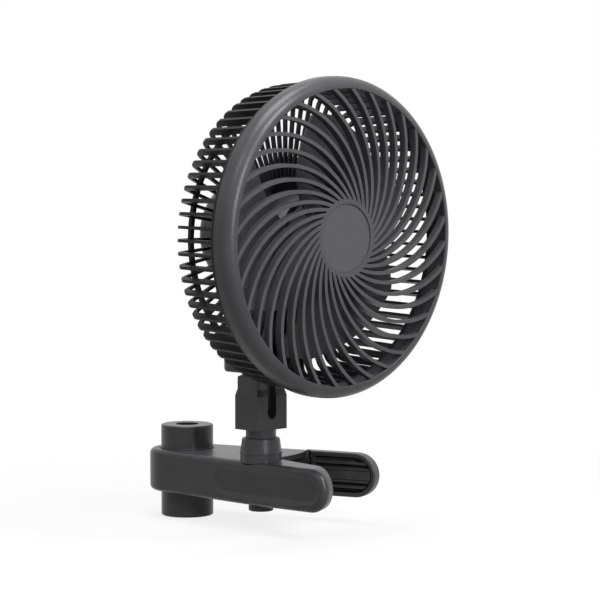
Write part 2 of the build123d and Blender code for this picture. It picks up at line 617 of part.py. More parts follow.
def swivel_screw():
    """Screw from below that draws the neck down on its washer."""
    seat = -HALF - 0.2 - DISC_T + DISC_SINK
    screw = rod_z(SWIVEL_HEAD_R, seat - 1.6, seat)
    screw += rod_z(SWIVEL_SCREW_R, seat, -HALF + SWIVEL_SCREW_L - DISC_T - 0.5)
    screw -= block(-2.6, 2.6, -0.4, 0.4, seat - 2, seat - 0.8)
    return NECK * screw


def tilt_bolt():
    """Bolt across the cheeks; its head is sunk in the right-hand one."""
    seat = BLOCK_W / 2 - CHEEK_INSET - TILT_HEAD_H
    bolt = rod_x(TILT_BOLT_R, -BLOCK_W / 2 + 2.4, seat, 0, TILT_Z)
    bolt += rod_x(TILT_HEAD_R, seat, seat + TILT_HEAD_H - 0.4, 0, TILT_Z)
    return NECK * bolt


def tilt_washers():
    """Friction washers on both sides of the tongue."""
    thick = (SLOT_W - TONGUE_W) / 2 - RUN_FIT
    washers = []
    for side in (-1, 1):
        x0 = side * TONGUE_W / 2
        washer = rod_x(TONGUE_END_R - 1.2, min(x0, x0 + side * thick), max(x0, x0 + side * thick), 0, TILT_Z)
        washers.append(NECK * (washer - rod_x(TILT_BOLT_R + BOLT_SLACK, -SLOT_W, SLOT_W, 0, TILT_Z)))
    return Compound(children=washers)


# ---- fan head -----------------------------------------------------------------------------------
def rolled_section(wall, back):
    """Section of the front ring from its inner edge round the roll, taken in by the wall."""
    roll = EllipticalCenterArc((BEZEL_IN_R, BEZEL_ROLL), BEZEL_RIM - wall, BEZEL_ROLL - wall,
                               start_angle=270, arc_size=90)
    side = Polyline(roll @ 1, (BEZEL_R - wall, back), (BEZEL_IN_R, back), roll @ 0)
    return make_face([roll, side])


def bezel_ring():
    """Front ring with a rolled edge, hollow from behind, with bosses for its screws."""
    hollow = rolled_section(BEZEL_WALL, BEZEL_DEPTH + 1)
    hollow -= Pos(BEZEL_IN_R, 0) * Rectangle(2 * BEZEL_WALL, 4 * BEZEL_DEPTH)
    face = rolled_section(0.0, BEZEL_DEPTH) - hollow
    inner = face.vertices().sort_by_distance((BEZEL_IN_R, 0, 0))[0]
    face = fillet(inner, 0.5)
    ring = revolve(face, Axis.Y)
    for k in range(4):
        x, z = polar(BEZEL_SCREW_R, BEZEL_SCREW_TURN + 90 * k)
        ring += rod_y(2.4, BEZEL_ROLL / 2 + 0.5, BEZEL_DEPTH, x, z)
        ring -= rod_y(M3 - 0.25, BEZEL_ROLL - 1.6, BEZEL_DEPTH + 1, x, z)
    return HEAD * ring


def bezel_screws():
    """Screws through the cage's ring into the bezel."""
    screws = []
    back = BEZEL_DEPTH + 2 * SEAM + CAGE_RING_DEPTH
    for k in range(4):
        x, z = polar(BEZEL_SCREW_R, BEZEL_SCREW_TURN + 90 * k)
        screw = rod_y(M3 - 0.25, BEZEL_ROLL - 0.9, back, x, z) + rod_y(SCREW_HEAD_R, back, back + 1.4, x, z)
        screws.append(HEAD * screw)
    return Compound(children=screws)


def rib_arc_angle(radius):
    """Angle at a rib's arc centre to its point at this distance from the fan axis."""
    cosine = (RIB_ARC_OFFSET ** 2 + RIB_ARC_R ** 2 - radius ** 2) / (2 * RIB_ARC_OFFSET * RIB_ARC_R)
    return degrees(acos(cosine))


def front_grille():
    """Spiral front grille: curved ribs from the hub disc to the inside of the front ring."""
    centre = polar(RIB_ARC_OFFSET, RIB_ARC_PHASE)
    toward_axis = RIB_ARC_PHASE + 180
    start = toward_axis + rib_arc_angle(HUB_DISC_R - 1.0)
    stop = toward_axis + rib_arc_angle(BEZEL_IN_R + GRILLE_RIB_W)
    rib = trace(CenterArc(centre, RIB_ARC_R, start, stop - start), GRILLE_RIB_W)
    ribs = [Rot(0, 0, k * 360 / GRILLE_RIBS) * rib for k in range(GRILLE_RIBS)]
    drawing = Sketch() + [Circle(HUB_DISC_R)] + ribs
    back = GRILLE_DEPTH - GRILLE_PROUD
    cone = make_face(Polyline((0, -GRILLE_PROUD), (HUB_DISC_R, -GRILLE_PROUD), (BEZEL_IN_R, GRILLE_SUNK),
                              (BEZEL_IN_R, back), (0, back), close=True))
    solid = plate_y(drawing, -2 * GRILLE_DEPTH, 2 * GRILLE_DEPTH) & revolve(cone, Axis.Y)
    solid -= rod_y(BADGE_R, -GRILLE_PROUD - 1, -GRILLE_PROUD + BADGE_SUNK + BADGE_T)
    solid -= rod_y(HUB_DISC_R - HUB_WALL, BADGE_SUNK + BADGE_T + 1, GRILLE_DEPTH)
    return HEAD * solid


def hub_badge():
    """Plain round plate sunk in the hub disc."""
    front = -GRILLE_PROUD + BADGE_SUNK
    return HEAD * rod_y(BADGE_R - 0.15, front, front + BADGE_T)


def rear_cage():
    """Rear cage: ribs bent round the corner, front ring, hoop and hub plate in one moulding."""
    ring_front = BEZEL_DEPTH + 2 * SEAM
    ring_back = ring_front + CAGE_RING_DEPTH
    inner = CAGE_R - CAGE_RIB_T
    ring_in = CAGE_R - CAGE_PLATE_T
    floor = CAGE_REAR - CAGE_PLATE_T
    profile = Polyline((CAGE_R + CAGE_FLARE, ring_back - 1), (CAGE_R, CAGE_REAR), (HUB_PLATE_R - 2, CAGE_REAR),
                       (HUB_PLATE_R - 2, floor), (inner, floor), (inner + CAGE_FLARE, ring_back - 1), close=True)
    face = make_face(profile)
    face = fillet(face.vertices().sort_by_distance((CAGE_R, CAGE_REAR, 0))[0], CAGE_CORNER)
    face = fillet(face.vertices().sort_by_distance((inner, floor, 0))[0], CAGE_CORNER - CAGE_RIB_T)
    rib = Pos(0, 0, -CAGE_RIB_W / 2) * extrude(face, CAGE_RIB_W)
    ribs = [Rot(0, k * 360 / CAGE_RIBS, 0) * rib for k in range(CAGE_RIBS)]
    ring = ring_y(CAGE_RING_R, ring_in, ring_front, ring_back)
    hoop = ring_y(HOOP_R + HOOP_W / 2, HOOP_R - HOOP_W / 2, CAGE_REAR - CAGE_PLATE_T - 0.8, CAGE_REAR - 0.6)
    plate = rod_y(HUB_PLATE_R, CAGE_REAR - CAGE_PLATE_T - 0.4, CAGE_REAR)
    solid = Part() + [ring, hoop, plate] + ribs
    solid -= rod_y(MOTOR_SHAFT_R + 1, CAGE_REAR - 10, CAGE_REAR + 1)
    for k in range(4):
        x, z = polar(BEZEL_SCREW_R, BEZEL_SCREW_TURN + 90 * k)
        solid -= rod_y(M3 + BOLT_SLACK, ring_front - 1, ring_back + 1, x, z)
        x, z = polar(MOTOR_R - 5, 45 + 90 * k)
        solid -= rod_y(M3 + BOLT_SLACK, CAGE_REAR - 10, CAGE_REAR + 1, x, z)
        x, z = polar(DRUM_R - 3.8, 90 * k + 20)
        solid -= rod_y(M3 + BOLT_SLACK, CAGE_REAR - 10, CAGE_REAR + 1, x, z)
    return HEAD * solid


# ---- impeller and motor -------------------------------------------------------------------------
def blade_edge(radius, share=0.0):
    """Angle of a blade at this radius, share running from its front edge to its back edge."""
    inward = max(0.0, (TIP_R - radius) / (TIP_R - CUP_R))
    return BLADE_END + BLADE_SKEW * inward ** 1.2 - (BLADE_SPAN + BLADE_SPREAD * inward) * share


def blade_point(radius, share):
    """Point of the blade's middle surface."""
    along = (radius - CUP_R) / (TIP_R - CUP_R)
    front = ROOT_FRONT + (TIP_FRONT - ROOT_FRONT) * along
    back = ROOT_BACK + (TIP_BACK - ROOT_BACK) * along
    angle = radians(blade_edge(radius, share))
    bow = BLADE_BOW * sin(pi * share)
    return Vector(radius * cos(angle), front + (back - front) * share + bow, radius * sin(angle))


def blade():
    """One wide blade, cut from a thickened sheet by its outline seen from the front."""
    root = CUP_R - CUP_WALL * 0.7
    end = TIP_R + 1.5
    margin = 0.06
    rows = []
    for i in range(8):
        radius = root + (end - root) * i / 7
        rows.append([blade_point(radius, -margin + (1 + 2 * margin) * j / 11) for j in range(12)])
    sheet = Face.make_surface_from_array_of_points(rows)
    solid = thicken(sheet, BLADE_T / 2, both=True)
    radii = [CUP_R - 1.2] + [CUP_R + (TIP_R - CUP_R) * f for f in (0.15, 0.3, 0.5, 0.72, 1.0)]
    front = [Vector(*polar(r, blade_edge(r))) for r in radii]
    back = [Vector(*polar(r, blade_edge(r, 1.0))) for r in reversed(radii)]
    outline = Spline(*front) + ThreePointArc(front[-1], polar(TIP_R, blade_edge(TIP_R, 0.5)), back[0])
    outline += Spline(*back) + ThreePointArc(back[-1], polar(radii[0], blade_edge(CUP_R, 0.5)), front[0])
    face = make_face(outline)
    tips = [v for v in face.vertices() if hypot(v.X, v.Y) > TIP_R - 1]
    face = fillet(tips, BLADE_CORNER)
    return solid & plate_y(face, 0, CAGE_REAR)


def impeller():
    """Fan wheel: a cup over the motor's front with three wide blades."""
    cup = rod_y(CUP_R, CUP_FRONT, CUP_FRONT + CUP_DEPTH)
    cup = fillet(cup.edges().group_by(Axis.Y)[0], 5.0)
    cup -= rod_y(CUP_R - CUP_WALL, CUP_FRONT + CUP_WALL + 4, CUP_FRONT + CUP_DEPTH + 1)
    cup += rod_y(MOTOR_SHAFT_R + 3, CUP_FRONT + 1, CUP_FRONT + CUP_DEPTH - 3)
    one = blade()
    wheel = cup
    for k in range(BLADES):
        wheel += Rot(0, -k * 360 / BLADES, 0) * one
    wheel -= rod_y(MOTOR_SHAFT_R, CUP_FRONT - 1, CAGE_REAR)
    return HEAD * wheel


def impeller_nut():
    """Cap nut that holds the wheel on the shaft."""
    nut = rod_y(5.2, CUP_FRONT - 3.6, CUP_FRONT)
    nut = fillet(nut.edges().group_by(Axis.Y)[0], 1.5)
    return HEAD * (nut - rod_y(MOTOR_SHAFT_R, CUP_FRONT - 2.2, CUP_FRONT + 1))


def motor_shaft():
    """Steel shaft from the wheel to the rear bearing."""
    return HEAD * rod_y(MOTOR_SHAFT_R, CUP_FRONT - 2.2, CAGE_REAR - CAGE_PLATE_T - 0.8)


def rotor_span():
    """Front and rear of the rotor and stator."""
    middle = (MOTOR_FRONT + CAGE_REAR - CAGE_PLATE_T) / 2
    return middle - STATOR_DEPTH / 2, middle + STATOR_DEPTH / 2


def motor_rotor():
    """Magnet rotor pressed on the shaft."""
    y0, y1 = rotor_span()
    return HEAD * ring_y(STATOR_BORE - ROTOR_GAP, MOTOR_SHAFT_R, y0, y1)


def motor_stator():
    """Stator ring with nine wound poles."""
    y0, y1 = rotor_span()
    stator = ring_y(STATOR_R, STATOR_R - 3.0, y0, y1)
    for k in range(9):
        pole = block(STATOR_BORE + 0.8, STATOR_R - 2, y0 + 1, y1 - 1, -1.4, 1.4)
        coil = block(STATOR_BORE + 2.2, STATOR_R - 2.8, y0 - 1, y1 + 1, -2.6, 2.6)
        shoe = ring_y(STATOR_BORE + 1.5, STATOR_BORE, y0, y1) & block(0, 30, y0, y1, -3.6, 3.6)
        stator += Rot(0, 40 * k, 0) * (pole + coil + shoe)
    return HEAD * stator


def motor_can():
    """Pressed motor can on the hub plate, with the front bearing's seat."""
    back = CAGE_REAR - CAGE_PLATE_T - 0.4
    can = ring_y(MOTOR_R, STATOR_R, MOTOR_FRONT, back)
    can += ring_y(MOTOR_R, BEARING_R - 1.5, MOTOR_FRONT, MOTOR_FRONT + MOTOR_WALL)
    can += ring_y(BEARING_R + MOTOR_WALL, BEARING_R, MOTOR_FRONT, MOTOR_FRONT + MOTOR_WALL + BEARING_W)
    can += ring_y(MOTOR_R, BEARING_R - 1.5, back - MOTOR_WALL, back)
    can += ring_y(BEARING_R + MOTOR_WALL, BEARING_R, back - MOTOR_WALL - BEARING_W, back)
    for k in range(4):
        x, z = polar(MOTOR_R - 5, 45 + 90 * k)
        can -= rod_y(M3 - 0.25, back - MOTOR_WALL - 1, back + 1, x, z)
    return HEAD * can


def motor_bearings():
    """Ball bearings at both ends of the can."""
    back = CAGE_REAR - CAGE_PLATE_T - 0.4 - MOTOR_WALL
    rings = []
    for y0 in (MOTOR_FRONT + MOTOR_WALL, back - BEARING_W):
        rings.append(HEAD * ring_y(BEARING_R, MOTOR_SHAFT_R + RUN_FIT, y0, y0 + BEARING_W))
    return Compound(children=rings)


def motor_screws():
    """Screws through the hub plate into the can."""
    screws = []
    for k in range(4):
        x, z = polar(MOTOR_R - 5, 45 + 90 * k)
        back = CAGE_REAR
        screw = rod_y(M3 - 0.25, back - 4.2, back, x, z) + rod_y(2.6, back, back + 1.4, x, z)
        screws.append(HEAD * screw)
    return Compound(children=screws)


# ---- rear housing -------------------------------------------------------------------------------
def housing_plan(inset=0.0):
    """Keyhole outline seen from behind: a drum with a straight stem down to the neck."""
    half = HOUSING_W / 2 - inset
    bottom = HOUSING_UNDER + inset
    stem = Pos(0, bottom / 2) * Rectangle(2 * half, -bottom)
    return Circle(DRUM_R - inset) + stem


def housing_outer():
    """Outside of both housing halves, with the rear edge rounded."""
    solid = plate_y(housing_plan(), CAGE_REAR, HOUSING_BACK)
    rear = [e for e in solid.edges() if abs(e.position_at(0.5).Y - HOUSING_BACK) < 0.01
            and abs(e.position_at(0.0).Y - HOUSING_BACK) < 0.01]
    return fillet(rear, HOUSING_ROUND)


def drum_screw_spots():
    """Screws that join the two housing halves."""
    return [(0, DRUM_R - 6.5), (-DRUM_R + 7.5, 6), (DRUM_R - 7.5, 6), (0, HOUSING_UNDER + 7.5)]


def rear_housing():
    """Front half of the rear housing, with the tongue that tilts in the neck."""
    half_plan = housing_plan(HOUSING_WALL)
    solid = housing_outer() - block(-FAR, FAR, HOUSING_SPLIT - SEAM, FAR, -FAR, FAR)
    solid -= plate_y(half_plan, CAGE_REAR + HOUSING_WALL, HOUSING_BACK)
    tilt = TILT_Z - FAN_Z
    tongue = block(-TONGUE_W / 2, TONGUE_W / 2, NECK_IN_HEAD - TONGUE_D / 2,
                   min(NECK_IN_HEAD + TONGUE_D / 2, HOUSING_SPLIT), tilt, HOUSING_UNDER + 1)
    solid += tongue
    solid += rod_x(TONGUE_END_R, -TONGUE_W / 2, TONGUE_W / 2, NECK_IN_HEAD, tilt)
    solid -= rod_x(TILT_BOLT_R + RUN_FIT, -30, 30, NECK_IN_HEAD, tilt)
    for x, z in drum_screw_spots():
        solid += rod_y(3.2, CAGE_REAR + 1, HOUSING_SPLIT - SEAM, x, z)
        solid -= rod_y(M3 - 0.25, HOUSING_SPLIT - 12, HOUSING_SPLIT, x, z)
    for k in range(4):
        x, z = polar(DRUM_R - 3.8, 90 * k + 20)
        solid += rod_y(3.0, CAGE_REAR, CAGE_REAR + 8, x, z) & plate_y(housing_plan(), CAGE_REAR, HOUSING_BACK)
        solid -= rod_y(M3 - 0.25, CAGE_REAR - 1, CAGE_REAR + 7, x, z)
    for k in range(4):
        x, z = polar(MOTOR_R - 5, 45 + 90 * k)
        solid -= rod_y(2.6 + BOLT_SLACK, CAGE_REAR - 1, CAGE_REAR + 1.7, x, z)
    return HEAD * solid


def mount_screws():
    """Screws from inside the cage into the rear housing."""
    screws = []
    front = CAGE_REAR - CAGE_PLATE_T - 0.4
    for k in range(4):
        x, z = polar(DRUM_R - 3.8, 90 * k + 20)
        screw = rod_y(M3 - 0.25, front, CAGE_REAR + 6, x, z) + rod_y(2.6, front - 1.4, front, x, z)
        screws.append(HEAD * screw)
    return Compound(children=screws)


def rear_cover():
    """Rear half of the housing with the button's hole and the power inlet's window."""
    solid = housing_outer() - block(-FAR, FAR, -FAR, HOUSING_SPLIT + SEAM, -FAR, FAR)
    solid -= plate_y(housing_plan(HOUSING_WALL + 1), HOUSING_SPLIT - 5, HOUSING_BACK - HOUSING_WALL)
    solid -= rod_y(BUTTON_R + SLIP_GAP / 2, HOUSING_BACK - 10, HOUSING_BACK + 1)
    jack_z = HOUSING_UNDER + 26
    solid -= rod_y(3.6, HOUSING_BACK - 10, HOUSING_BACK + 1, 0, jack_z)
    for x, z in drum_screw_spots():
        post = rod_y(3.6, HOUSING_SPLIT + SEAM, HOUSING_BACK - 1, x, z)
        solid += post & housing_outer()
        solid -= rod_y(M3 + BOLT_SLACK, HOUSING_SPLIT - 1, HOUSING_BACK + 1, x, z)
        solid -= rod_y(2.8, HOUSING_SPLIT + 7, HOUSING_BACK + 1, x, z)
    return HEAD * solid


def cover_joint_screws():
    """Screws from behind that join the housing halves."""
    screws = []
    for x, z in drum_screw_spots():
        seat = HOUSING_SPLIT + 7
        screw = rod_y(M3 - 0.25, HOUSING_SPLIT - 9, seat, x, z) + rod_y(2.6, seat, seat + 1.6, x, z)
        screws.append(HEAD * screw)
    return Compound(children=screws)


def control_board():
    """Speed control board on two pillars in the drum, with its switch."""
    y0 = HOUSING_BACK - BOARD_BEHIND
    board = block(-BOARD_W / 2, BOARD_W / 2, y0, y0 + BOARD_T, -BOARD_H / 2 + 2, BOARD_H / 2 - 2)
    top = y0 + BOARD_T
    board += block(-3, 3, top, top + SWITCH_T, -3, 3)
    board += rod_y(4, top, top + 6, -10, 10) + rod_y(4, top, top + 6, 10, 10)
    board += block(-14, -4, y0 - 2.5, y0, -14, -6) + block(4, 13, y0 - 2, y0, -13, -7)
    for x in (-12, 12):
        board += rod_y(2.2, CAGE_REAR + HOUSING_WALL, y0 + 0.1, x, 0)
    return HEAD * board


def power_button():
    """Round push button in the middle of the rear cover."""
    back = HOUSING_BACK + BUTTON_PROUD
    cap = rod_y(BUTTON_R, HOUSING_BACK - HOUSING_WALL - 1, back)
    cap = fillet(cap.edges().group_by(Axis.Y)[-1], 0.8)
    cap += rod_y(BUTTON_R + 1.4, HOUSING_BACK - HOUSING_WALL - 1.6, HOUSING_BACK - HOUSING_WALL - 0.1)
    stem_end = HOUSING_BACK - BOARD_BEHIND + BOARD_T + SWITCH_T + BUTTON_TRAVEL + BOLT_SLACK
    cap += rod_y(2.0, stem_end, HOUSING_BACK - HOUSING_WALL)
    return HEAD * cap


def power_inlet():
    """Barrel inlet for the power lead, open to the rear."""
    jack_z = HOUSING_UNDER + 26
    back = HOUSING_BACK - HOUSING_WALL
    jack = block(-JACK_W / 2, JACK_W / 2, back - JACK_L, back, jack_z - JACK_H / 2, jack_z + JACK_H / 2)
    jack += rod_y(3.4, back - 1, HOUSING_BACK - 0.2, 0, jack_z)
    jack -= rod_y(2.75, back - JACK_L + 2, HOUSING_BACK + 1, 0, jack_z)
    jack += rod_y(1.0, back - JACK_L + 1, back - 1, 0, jack_z)
    jack += block(-3, 3, CAGE_REAR + HOUSING_WALL, back - JACK_L + 0.1, jack_z - 4, jack_z + 4)
    return HEAD * jack


NODES = {
    "clamp_body": clamp_body, "arm_cover": arm_cover, "cover_screws": cover_screws,
    "fixed_pad": fixed_pad, "moving_jaw": moving_jaw, "moving_pad": moving_pad,
    "torsion_spring": torsion_spring, "hinge_boss_top": hinge_boss_top,
    "hinge_boss_bottom": hinge_boss_bottom, "hinge_sleeve": hinge_sleeve,
    "hinge_washers": hinge_washers, "hinge_bolt": hinge_bolt, "hinge_nut": hinge_nut,
    "neck_collar": neck_collar, "neck_block": neck_block, "swivel_washer": swivel_washer,
    "swivel_disc": swivel_disc, "swivel_screw": swivel_screw, "tilt_bolt": tilt_bolt,
    "tilt_washers": tilt_washers, "bezel_ring": bezel_ring, "bezel_screws": bezel_screws,
    "front_grille": front_grille, "hub_badge": hub_badge, "rear_cage": rear_cage,
    "impeller": impeller, "impeller_nut": impeller_nut, "motor_shaft": motor_shaft,
    "motor_rotor": motor_rotor, "motor_stator": motor_stator, "motor_can": motor_can,
    "motor_bearings": motor_bearings, "motor_screws": motor_screws, "rear_housing": rear_housing,
    "mount_screws": mount_screws, "rear_cover": rear_cover,
    "cover_joint_screws": cover_joint_screws, "control_board": control_board,
    "power_button": power_button, "power_inlet": power_inlet,
}

for name, make in NODES.items():
    export_step(make(), f"parts/{name}.step")
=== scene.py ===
"""Clip fan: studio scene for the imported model."""
import json
import math
import bpy
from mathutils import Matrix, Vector


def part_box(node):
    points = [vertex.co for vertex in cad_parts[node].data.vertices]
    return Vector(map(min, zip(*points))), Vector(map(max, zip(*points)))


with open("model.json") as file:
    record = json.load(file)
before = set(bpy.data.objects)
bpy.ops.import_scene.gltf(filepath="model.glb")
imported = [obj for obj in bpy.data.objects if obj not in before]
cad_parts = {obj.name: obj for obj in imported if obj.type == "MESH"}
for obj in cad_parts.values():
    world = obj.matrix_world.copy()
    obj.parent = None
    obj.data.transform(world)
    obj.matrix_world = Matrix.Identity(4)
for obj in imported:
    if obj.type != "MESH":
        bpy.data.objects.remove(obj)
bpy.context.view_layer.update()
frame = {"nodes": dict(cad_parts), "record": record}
parts = frame["nodes"]

MM = 0.001
RING_LOW, RING_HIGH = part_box("bezel_ring")
RING_MIDDLE = (RING_LOW + RING_HIGH) / 2
HUB = Vector((RING_MIDDLE.x, RING_LOW.y, RING_MIDDLE.z))   # fan axis at the plane of the front ring

# Camera, matched to the photograph: a long lens from the front left, a little above the fan's axis.
CAMERA_AZIMUTH, CAMERA_ELEVATION = -45.922, 2.885      # degrees round the hub
CAMERA_DISTANCE = 1.5964
CAMERA_LENS_MM, CAMERA_FILM_MM = 159.64, 36.0
CAMERA_NEAR, CAMERA_FAR = 0.05, 60.0
AIM_LEFT, AIM_DOWN = 0.02752, 0.03718                  # middle of the picture, from the hub


def make_camera():
    """Camera at the photograph's place."""
    azimuth, elevation = math.radians(CAMERA_AZIMUTH), math.radians(CAMERA_ELEVATION)
    back = Vector((math.sin(azimuth) * math.cos(elevation),
                   -math.cos(azimuth) * math.cos(elevation),
                   math.sin(elevation)))
    right = Vector((math.cos(azimuth), math.sin(azimuth), 0.0))
    up = back.cross(right)
    data = bpy.data.cameras.new("studio_camera")
    data.sensor_width = CAMERA_FILM_MM
    data.lens = CAMERA_LENS_MM
    data.clip_start, data.clip_end = CAMERA_NEAR, CAMERA_FAR
    camera = bpy.data.objects.new("studio_camera", data)
    bpy.context.scene.collection.objects.link(camera)
    camera.location = HUB + back * CAMERA_DISTANCE
    aim = HUB - right * AIM_LEFT - up * AIM_DOWN
    camera.rotation_mode = "QUATERNION"
    camera.rotation_quaternion = (aim - camera.location).to_track_quat("-Z", "Y")
    bpy.context.scene.camera = camera


# ---- making materials --------------------------------------------------------------------------
def linear(code):
    """sRGB hex colour as linear RGBA."""
    values = [int(code[i:i + 2], 16) / 255 for i in (1, 3, 5)]
    return tuple(v / 12.92 if v <= 0.04045 else ((v + 0.055) / 1.055) ** 2.4 for v in values) + (1.0,)


def add(tree, kind, links=None, values=None, **settings):
    """Adds one node: settings are its properties, values and links go to its inputs."""
    made = tree.nodes.new(kind)
    for name, value in settings.items():
        setattr(made, name, value)
    for name, value in (values or {}).items():
        made.inputs[name].default_value = value
    for name, source in (links or {}).items():
        tree.links.new(source, made.inputs[name])
    return made


def begin(name):
    """Empty material with its object coordinates, so that patterns stay put on a moving piece."""
    made = bpy.data.materials.new(name)
    made.use_nodes = True
    tree = made.node_tree
    tree.nodes.clear()
    return made, tree, add(tree, "ShaderNodeTexCoord").outputs["Object"]


def finish_surface(tree, links, values):
    """Puts a principled surface with these inputs on the material's output."""
    shader = add(tree, "ShaderNodeBsdfPrincipled", links, values)
    add(tree, "ShaderNodeOutputMaterial", {"Surface": shader.outputs["BSDF"]})


def rounded_edges(tree, radius_mm):
    """Normal that turns smoothly over the sharp edges, as mould and tool radii do."""
    return add(tree, "ShaderNodeBevel", values={"Radius": radius_mm * MM}, samples=6).outputs["Normal"]


# ---- moulded plastic and sintered pieces -------------------------------------------------------
# The real grain is about 0.1 mm. It is drawn five times as coarse, because it wouldn't show otherwise.
GRAIN_MM = 0.55
GRAIN_DEPTH_MM = 0.004
MOULD_EDGE_MM = 0.4
CLOUD_MM = 24.0                        # patches in which the tone of a moulding drifts
CLOUD_LOW, CLOUD_HIGH = 0.3, 0.7       # the noise's usual range
CLOUD_SHARE = 0.3                      # most that a patch takes of the paler colour
HIGHLIGHT_STARTS, HIGHLIGHT_FULL = 0.995, 0.82     # cosine of the edge's turn, where the painted edge highlight starts and where it is full
GRAIN_LOW, GRAIN_HIGH = 0.35, 0.65
GRAIN_GLOSS = 0.05                     # how far the grain moves the roughness each way
PLASTIC_IOR = 1.53


def moulded(name, colour, pale_patch_and_highlight, roughness, specular,
            grain_mm=GRAIN_MM, grain_depth_mm=GRAIN_DEPTH_MM, edge_mm=MOULD_EDGE_MM):
    """Moulded plastic: fine spark-eroded grain, faint cloudiness, and sharp edges painted paler as a
    highlight.
    """
    surface, tree, place = begin(name)
    grain = add(tree, "ShaderNodeTexNoise", {"Vector": place},
                {"Scale": 1 / (grain_mm * MM), "Detail": 3.0, "Roughness": 0.6})
    cloud = add(tree, "ShaderNodeTexNoise", {"Vector": place},
                {"Scale": 1 / (CLOUD_MM * MM), "Detail": 4.0, "Roughness": 0.55})
    normal = rounded_edges(tree, edge_mm)
    flat = add(tree, "ShaderNodeNewGeometry").outputs["Normal"]
    turn = add(tree, "ShaderNodeVectorMath", {0: normal, 1: flat}, operation="DOT_PRODUCT")
    edge = add(tree, "ShaderNodeMapRange", {"Value": turn.outputs["Value"]},
               {"From Min": HIGHLIGHT_STARTS, "From Max": HIGHLIGHT_FULL, "To Min": 0.0, "To Max": 1.0})
    # sharp edges painted paler, patchy with the cloud: a painted highlight
    edge_highlight = add(tree, "ShaderNodeMath", {0: edge.outputs["Result"], 1: cloud.outputs["Fac"]},
              operation="MULTIPLY")
    tone = add(tree, "ShaderNodeMapRange", {"Value": cloud.outputs["Fac"]},
               {"From Min": CLOUD_LOW, "From Max": CLOUD_HIGH, "To Min": 0.0, "To Max": CLOUD_SHARE})
    share = add(tree, "ShaderNodeMath", {0: tone.outputs["Result"], 1: edge_highlight.outputs["Value"]},
                operation="MAXIMUM")
    # the paler colour goes into random patches of tone and into the painted edge highlight
    paint = add(tree, "ShaderNodeMixRGB", {"Fac": share.outputs["Value"]},
                {"Color1": linear(colour), "Color2": linear(pale_patch_and_highlight)})
    gloss = add(tree, "ShaderNodeMapRange", {"Value": grain.outputs["Fac"]},
                {"From Min": GRAIN_LOW, "From Max": GRAIN_HIGH,
                 "To Min": roughness - GRAIN_GLOSS, "To Max": roughness + GRAIN_GLOSS})
    bump = add(tree, "ShaderNodeBump", {"Height": grain.outputs["Fac"], "Normal": normal},
               {"Strength": 1.0, "Distance": grain_depth_mm * MM})
    finish_surface(tree,
                   {"Base Color": paint.outputs["Color"], "Roughness": gloss.outputs["Result"],
                    "Normal": bump.outputs["Normal"]},
                   {"IOR": PLASTIC_IOR, "Specular IOR Level": specular})
    return surface


def shell_plastic():
    """Jaws, neck, ring and housing in moulded ABS: dark grey, with a soft sheen along its rounds."""
    return moulded("abs_moulded_fine_texture", "#38383a", "#58585a", 0.33, 0.26)


def cover_plastic():
    """Outer cover, swivel disc and button: the same moulded ABS, one shade darker."""
    return moulded("abs_moulded_satin_cover", "#333335", "#505052", 0.33, 0.26)


def grille_plastic():
    """Front ribs in moulded ABS: paler and duller, with thin painted highlights on their edges."""
    return moulded("abs_moulded_grille", "#464648", "#606062", 0.38, 0.20, edge_mm=0.3)


def cage_plastic():
    """Rear ribs in moulded ABS: painted nearly black as shade on the ribs at the back, with hardly any
    shine.
    """
    # nearly black base colour: painted shade
    return moulded("abs_moulded_rear_cage", "#232324", "#3f3f41", 0.42, 0.12, edge_mm=0.3)


def blade_plastic():
    """Wheel in moulded polypropylene: even grey that looks slightly waxy, painted paler than the shell as
    light reaching the blades behind the ribs.
    """
    # paler than the shell: painted light on the blades
    return moulded("polypropylene_moulded_blade", "#48484a", "#565658", 0.42, 0.16, grain_depth_mm=0.003)


def badge_plastic():
    """Plain plate on the hub in satin ABS: smoother and paler than the ribs round it."""
    return moulded("abs_plate_satin", "#505052", "#5a5a5c", 0.38, 0.20, grain_mm=0.3, grain_depth_mm=0.002)


def inlet_plastic():
    """Power inlet in moulded nylon: black, with a coarser grain."""
    return moulded("nylon_moulded_black", "#1d1d1e", "#313133", 0.5, 0.3, grain_depth_mm=0.01)


def rotor_magnet():
    """Sintered ferrite: charcoal, dull and gritty."""
    return moulded("ferrite_sintered", "#2c2c2e", "#3c3c3e", 0.7, 0.3, grain_mm=0.8, grain_depth_mm=0.03)


# ---- metal -------------------------------------------------------------------------------------
STREAK_MM = (0.15, 0.15, 9.0)          # streaks that drawing or turning leaves, long along Z
ROLLED_STREAK_MM = (9.0, 0.2, 0.2)     # those of rolled sheet, long along X
STREAK_DEPTH_MM = 0.004
STREAK_LOW, STREAK_HIGH = 0.3, 0.7
STREAK_GLOSS = 0.08                    # how far the streaks move the roughness each way
STAIN_MM = 6.0
METAL_EDGE_MM = 0.15


